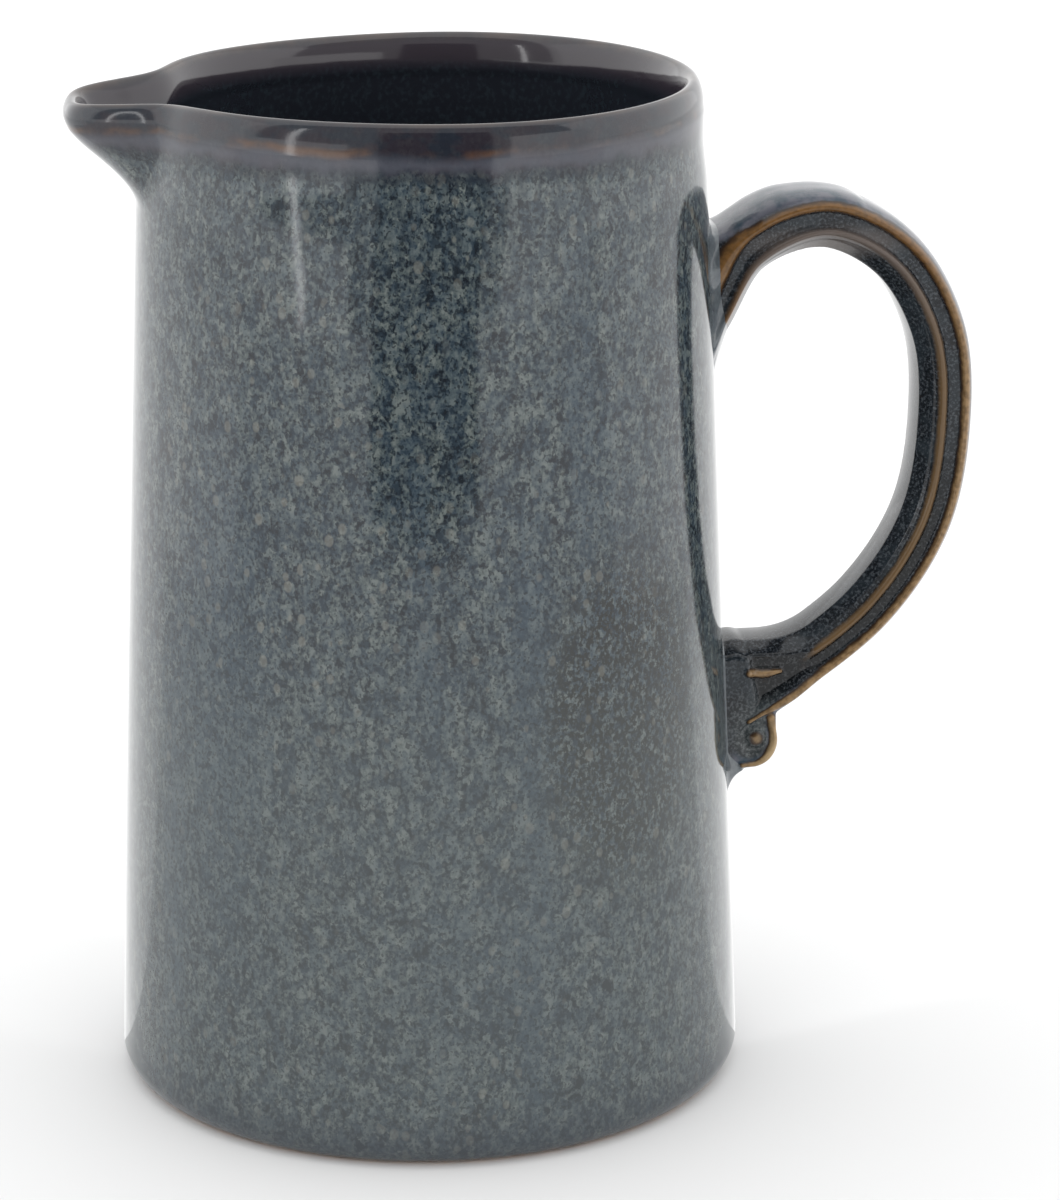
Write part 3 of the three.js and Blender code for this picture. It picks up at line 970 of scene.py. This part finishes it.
def crest_and_inside(t, color, past_crest, ragged):
    """The crest, where the glaze is thin and brown, then the near-black inside."""
    crest = t.math("MULTIPLY", t.step(past_crest, -1.4, -0.2), t.step(past_crest, 3.4, 0.8))
    browner = t.step(t.noise(9.0, 9.0, 9.0, detail=3.0, shift=17.0), 0.35, 0.65, 0.25, 0.9)
    color = t.blend(t.math("MULTIPLY", crest, browner), color, CREST_BROWN)
    speckle = t.step(t.noise(0.9, 0.9, 1.1, detail=2.0, shift=29.0), 0.45, 0.75)
    inside = t.blend(speckle, INSIDE_NAVY, INSIDE_SLATE)
    edge = t.math("ADD", past_crest, t.math("MULTIPLY", ragged, 0.15))
    upper_inside = t.blend(t.step(edge, 5.0, 8.5), INSIDE_PLUM, inside)
    return t.blend(t.step(past_crest, 1.0, 3.0), color, upper_inside)


def foot(t, color, past_crest):
    """A darker band at the bottom, and the bare clay that the pitcher stands on."""
    height = t.height()
    low = t.math("MULTIPLY", t.step(height, 13.0, 2.0), 0.5)
    on_outside = t.step(past_crest, -100.0, -120.0)
    color = t.blend(t.math("MULTIPLY", low, on_outside), color, FOOT_SLATE)
    wiped = t.math("ADD", height, t.math("MULTIPLY", t.noise(3.0, 3.0, 3.0, detail=3.0, shift=37.0), 0.8))
    bare = t.math("MULTIPLY", t.step(wiped, 1.25, 0.85), on_outside)
    return t.blend(bare, color, BARE_CLAY)


def body_glaze(name):
    """The body's glaze, laid out by the distance past the lip's crest in millimetres, below 0 outside."""
    t = NodeTree(name)
    color = mottled_glaze(t)
    past_crest = t.attribute("past_crest")
    centred = t.math("SUBTRACT", t.noise(4.5, 4.5, 14.0, detail=3.0, shift=23.0), 0.5)
    ragged = t.math("MULTIPLY", centred, 4.0)
    color = rim_band(t, color, past_crest, ragged)
    color = crest_and_inside(t, color, past_crest, ragged)
    return finish_glaze(t, foot(t, color, past_crest))


def joint_glaze(name):
    """The outside's glaze in the fillets, pooled and calmer, and paler partly as a painted highlight along
    the concave fillets.
    """
    t = NodeTree(name)
    # Blended towards pale grey: pooled glaze and partly a painted highlight
    return finish_glaze(t, t.blend(0.65, mottled_glaze(t), POOLED_GREY_AND_SHEEN))


def handle_ground(t):
    """Dark speckled glaze, paler round the scroll, with painted shade darkening the sunk panel and the
    groove along the lower arm, and hazy on the crown.
    """
    speckle = t.noise(0.55, 0.55, 0.55, detail=3.0, roughness=0.65)
    color = t.ramp(speckle, HANDLE_SPECKLE)
    haze = t.step(t.noise(6.0, 6.0, 6.0, detail=2.0, shift=3.0), 0.45, 0.65, 0.0, 0.35)
    color = t.blend(haze, color, SLATE)
    scroll_side = t.patch((64.0, 0, 63.0), (12, 16, 13))
    pale_speckle = t.blend(t.step(speckle, 0.42, 0.60), *SCROLL_SPECKLE)
    color = t.blend(t.math("MULTIPLY", scroll_side, 0.9), color, pale_speckle)
    # Painted shade: near-black speckle in the sunk panel and the lower groove, where the glaze reflects
    # dark surroundings
    dark_speckle = t.blend(t.step(speckle, 0.50, 0.64), *PAINTED_SHADE_SPECKLE)
    color = t.blend(t.math("MULTIPLY", t.attribute("painted_shade"), 0.95), color, dark_speckle)
    clouded = t.blend(t.step(t.noise(3.0, 3.0, 3.0, detail=3.0, shift=15.0), 0.40, 0.66), LAVENDER, BLUE)
    color = t.blend(t.math("MULTIPLY", t.attribute("crown"), 0.85), color, clouded)
    milky = t.math("MULTIPLY", t.patch((75, 0, 158), (24, 16, 5)), 0.8)
    return t.blend(milky, color, MILKY_BROWN)


def tan_beads(t, color):
    """The beads, where the glaze breaks to tan: the inner one duller, the outer one with a dark edge."""
    high = t.step(t.height(), 128.0, 160.0)
    broken = t.noise(2.0, 2.0, 2.0, detail=4.0, roughness=0.65, shift=9.0)
    uneven = t.math("MULTIPLY_ADD", broken, 0.6, -0.30)
    inner = t.math("ADD", t.attribute("inner_ridge"), uneven)
    upper_root = t.patch((54, 0, 144), (13, 20, 20))
    inner_tan = t.blend(upper_root, t.blend(high, DULL_TAN, PINK_TAN), GOLDEN_BROWN)
    color = t.blend(t.step(inner, 0.05, 0.95, 0.0, 0.9), color, inner_tan)
    outer = t.math("ADD", t.attribute("outer_ridge"), uneven)
    color = t.blend(t.step(outer, 0.05, 0.40), color, DARK_BROWN)
    tan = t.blend(high, TAN, GOLDEN_BROWN)
    tan = t.blend(t.step(t.noise(1.0, 1.0, 1.0, detail=3.0, shift=73.0), 0.35, 0.7, 0.0, 0.6), tan, BROWN)
    tan = t.blend(t.patch((65.5, 0, 60), (7, 16, 9)), tan, PALE_TAN)
    return t.blend(t.step(outer, 0.30, 0.85), color, tan)


def handle_glaze(name):
    """The same glaze on the handle: dark and speckled, with painted shade in the hollows, breaking to tan
    on the beads.
    """
    t = NodeTree(name)
    return finish_glaze(t, tan_beads(t, handle_ground(t)), ior=HANDLE_IOR)


bpy.context.scene.view_settings.view_transform = "Standard"
build_camera()
build_stage()
build_world()
build_panels()
body = build_body()
handle = build_handle()
upper_fillet = build_fillet("upper_slip_fillet", "upper_slip_joint", upper_fillet_radius)
lower_fillet = build_fillet("lower_slip_fillet", "lower_slip_joint", lower_fillet_radius)
body.data.materials.append(body_glaze("speckled_reactive_glaze"))
handle.data.materials.append(handle_glaze("breaking_reactive_glaze"))
pooled_and_sheen_glaze = joint_glaze("pooled_glaze_and_painted_sheen")
for fillet in (upper_fillet, lower_fillet):
    fillet.data.materials.append(pooled_and_sheen_glaze)
